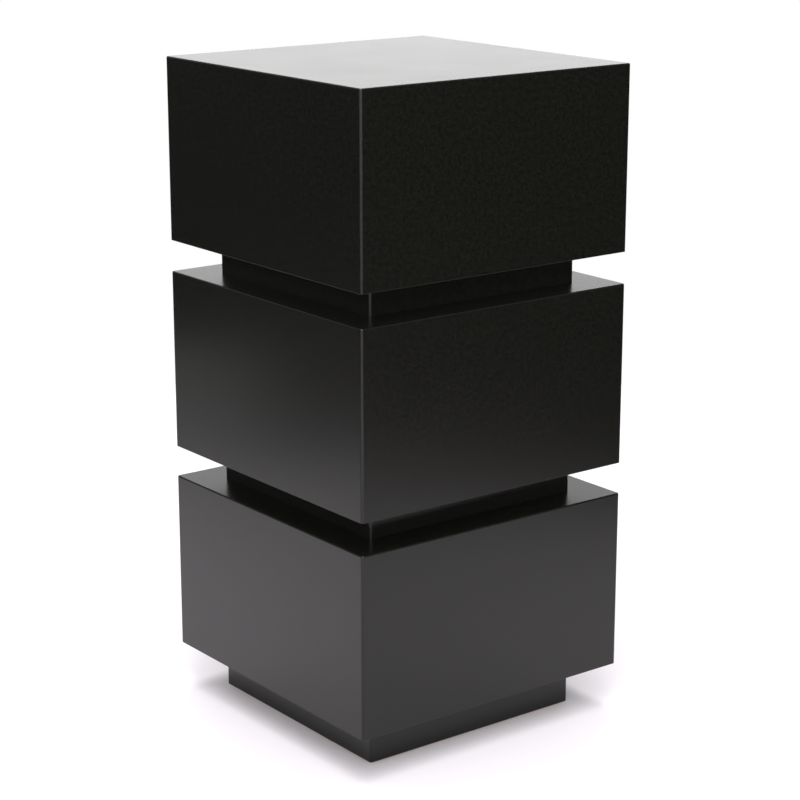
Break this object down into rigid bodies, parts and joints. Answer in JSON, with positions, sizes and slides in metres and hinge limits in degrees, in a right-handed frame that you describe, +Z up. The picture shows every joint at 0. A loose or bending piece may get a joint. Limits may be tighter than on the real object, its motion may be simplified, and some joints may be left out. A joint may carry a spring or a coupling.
{
  "type": "display plinth",
  "caption": "Square display plinth of stacked satin black boxes set apart by recessed necks, on a recessed base with levelling feet.",
  "frame": {"origin": "centre of the plinth on the floor, under the four foot pads", "axes": "+Z up; the four faces look along +X, -X, +Y and -Y, and all four are alike"},
  "size_m": [0.356, 0.356, 0.73],
  "materials": {
    "lacquered_mdf": "satin",
    "raw_mdf": "matte",
    "softwood": "matte",
    "beech": "matte",
    "zinc_steel": "satin",
    "nylon": "matte"
  },
  "bodies": {
    "plinth": {"base_front": "lacquered_mdf", "base_right": "lacquered_mdf", "base_back": "lacquered_mdf", "base_left": "lacquered_mdf", "base_blocks": "raw_mdf", "base_screws": "zinc_steel", "tee_nuts": "zinc_steel", "lower_box_bottom": "lacquered_mdf", "lower_box_front": "lacquered_mdf", "lower_box_right": "lacquered_mdf", "lower_box_back": "lacquered_mdf", "lower_box_left": "lacquered_mdf", "lower_box_top": "lacquered_mdf", "lower_box_glue_blocks": "softwood", "lower_box_biscuits": "beech", "middle_box_bottom": "lacquered_mdf", "middle_box_front": "lacquered_mdf", "middle_box_right": "lacquered_mdf", "middle_box_back": "lacquered_mdf", "middle_box_left": "lacquered_mdf", "middle_box_top": "lacquered_mdf", "middle_box_glue_blocks": "softwood", "middle_box_biscuits": "beech", "upper_box_bottom": "lacquered_mdf", "upper_box_front": "lacquered_mdf", "upper_box_right": "lacquered_mdf", "upper_box_back": "lacquered_mdf", "upper_box_left": "lacquered_mdf", "upper_box_top": "lacquered_mdf", "upper_box_glue_blocks": "softwood", "upper_box_biscuits": "beech", "lower_neck_front": "lacquered_mdf", "lower_neck_right": "lacquered_mdf", "lower_neck_back": "lacquered_mdf", "lower_neck_left": "lacquered_mdf", "lower_neck_blocks": "raw_mdf", "lower_neck_screws": "zinc_steel", "upper_neck_front": "lacquered_mdf", "upper_neck_right": "lacquered_mdf", "upper_neck_back": "lacquered_mdf", "upper_neck_left": "lacquered_mdf", "upper_neck_blocks": "raw_mdf", "upper_neck_screws": "zinc_steel"},
    "foot_1_pad": {"foot_1_pad": "nylon"},
    "foot_1_stem": {"foot_1_stem": "zinc_steel"},
    "foot_2_pad": {"foot_2_pad": "nylon"},
    "foot_2_stem": {"foot_2_stem": "zinc_steel"},
    "foot_3_pad": {"foot_3_pad": "nylon"},
    "foot_3_stem": {"foot_3_stem": "zinc_steel"},
    "foot_4_pad": {"foot_4_pad": "nylon"},
    "foot_4_stem": {"foot_4_stem": "zinc_steel"}
  },
  "joints": [
    {"name": "foot_1_travel", "type": "slide", "parent": "plinth", "child": "foot_1_pad", "axis": [0, 0, -1], "range_m": [-0.002, 0.012]},
    {"name": "foot_1_turn", "type": "hinge", "parent": "foot_1_pad", "child": "foot_1_stem", "pos_m": [0.099, 0.099, 0.0046], "axis": [0, 0, -1], "range_deg": [-576, 3456]},
    {"name": "foot_2_travel", "type": "slide", "parent": "plinth", "child": "foot_2_pad", "axis": [0, 0, -1], "range_m": [-0.002, 0.012]},
    {"name": "foot_2_turn", "type": "hinge", "parent": "foot_2_pad", "child": "foot_2_stem", "pos_m": [-0.099, 0.099, 0.0046], "axis": [0, 0, -1], "range_deg": [-576, 3456]},
    {"name": "foot_3_travel", "type": "slide", "parent": "plinth", "child": "foot_3_pad", "axis": [0, 0, -1], "range_m": [-0.002, 0.012]},
    {"name": "foot_3_turn", "type": "hinge", "parent": "foot_3_pad", "child": "foot_3_stem", "pos_m": [-0.099, -0.099, 0.0046], "axis": [0, 0, -1], "range_deg": [-576, 3456]},
    {"name": "foot_4_travel", "type": "slide", "parent": "plinth", "child": "foot_4_pad", "axis": [0, 0, -1], "range_m": [-0.002, 0.012]},
    {"name": "foot_4_turn", "type": "hinge", "parent": "foot_4_pad", "child": "foot_4_stem", "pos_m": [0.099, -0.099, 0.0046], "axis": [0, 0, -1], "range_deg": [-576, 3456]}
  ],
  "couplings": [
    {"joint": "foot_1_travel", "follows": "foot_1_turn", "m_per_rad": 0.00019894},
    {"joint": "foot_2_travel", "follows": "foot_2_turn", "m_per_rad": 0.00019894},
    {"joint": "foot_3_travel", "follows": "foot_3_turn", "m_per_rad": 0.00019894},
    {"joint": "foot_4_travel", "follows": "foot_4_turn", "m_per_rad": 0.00019894}
  ]
}
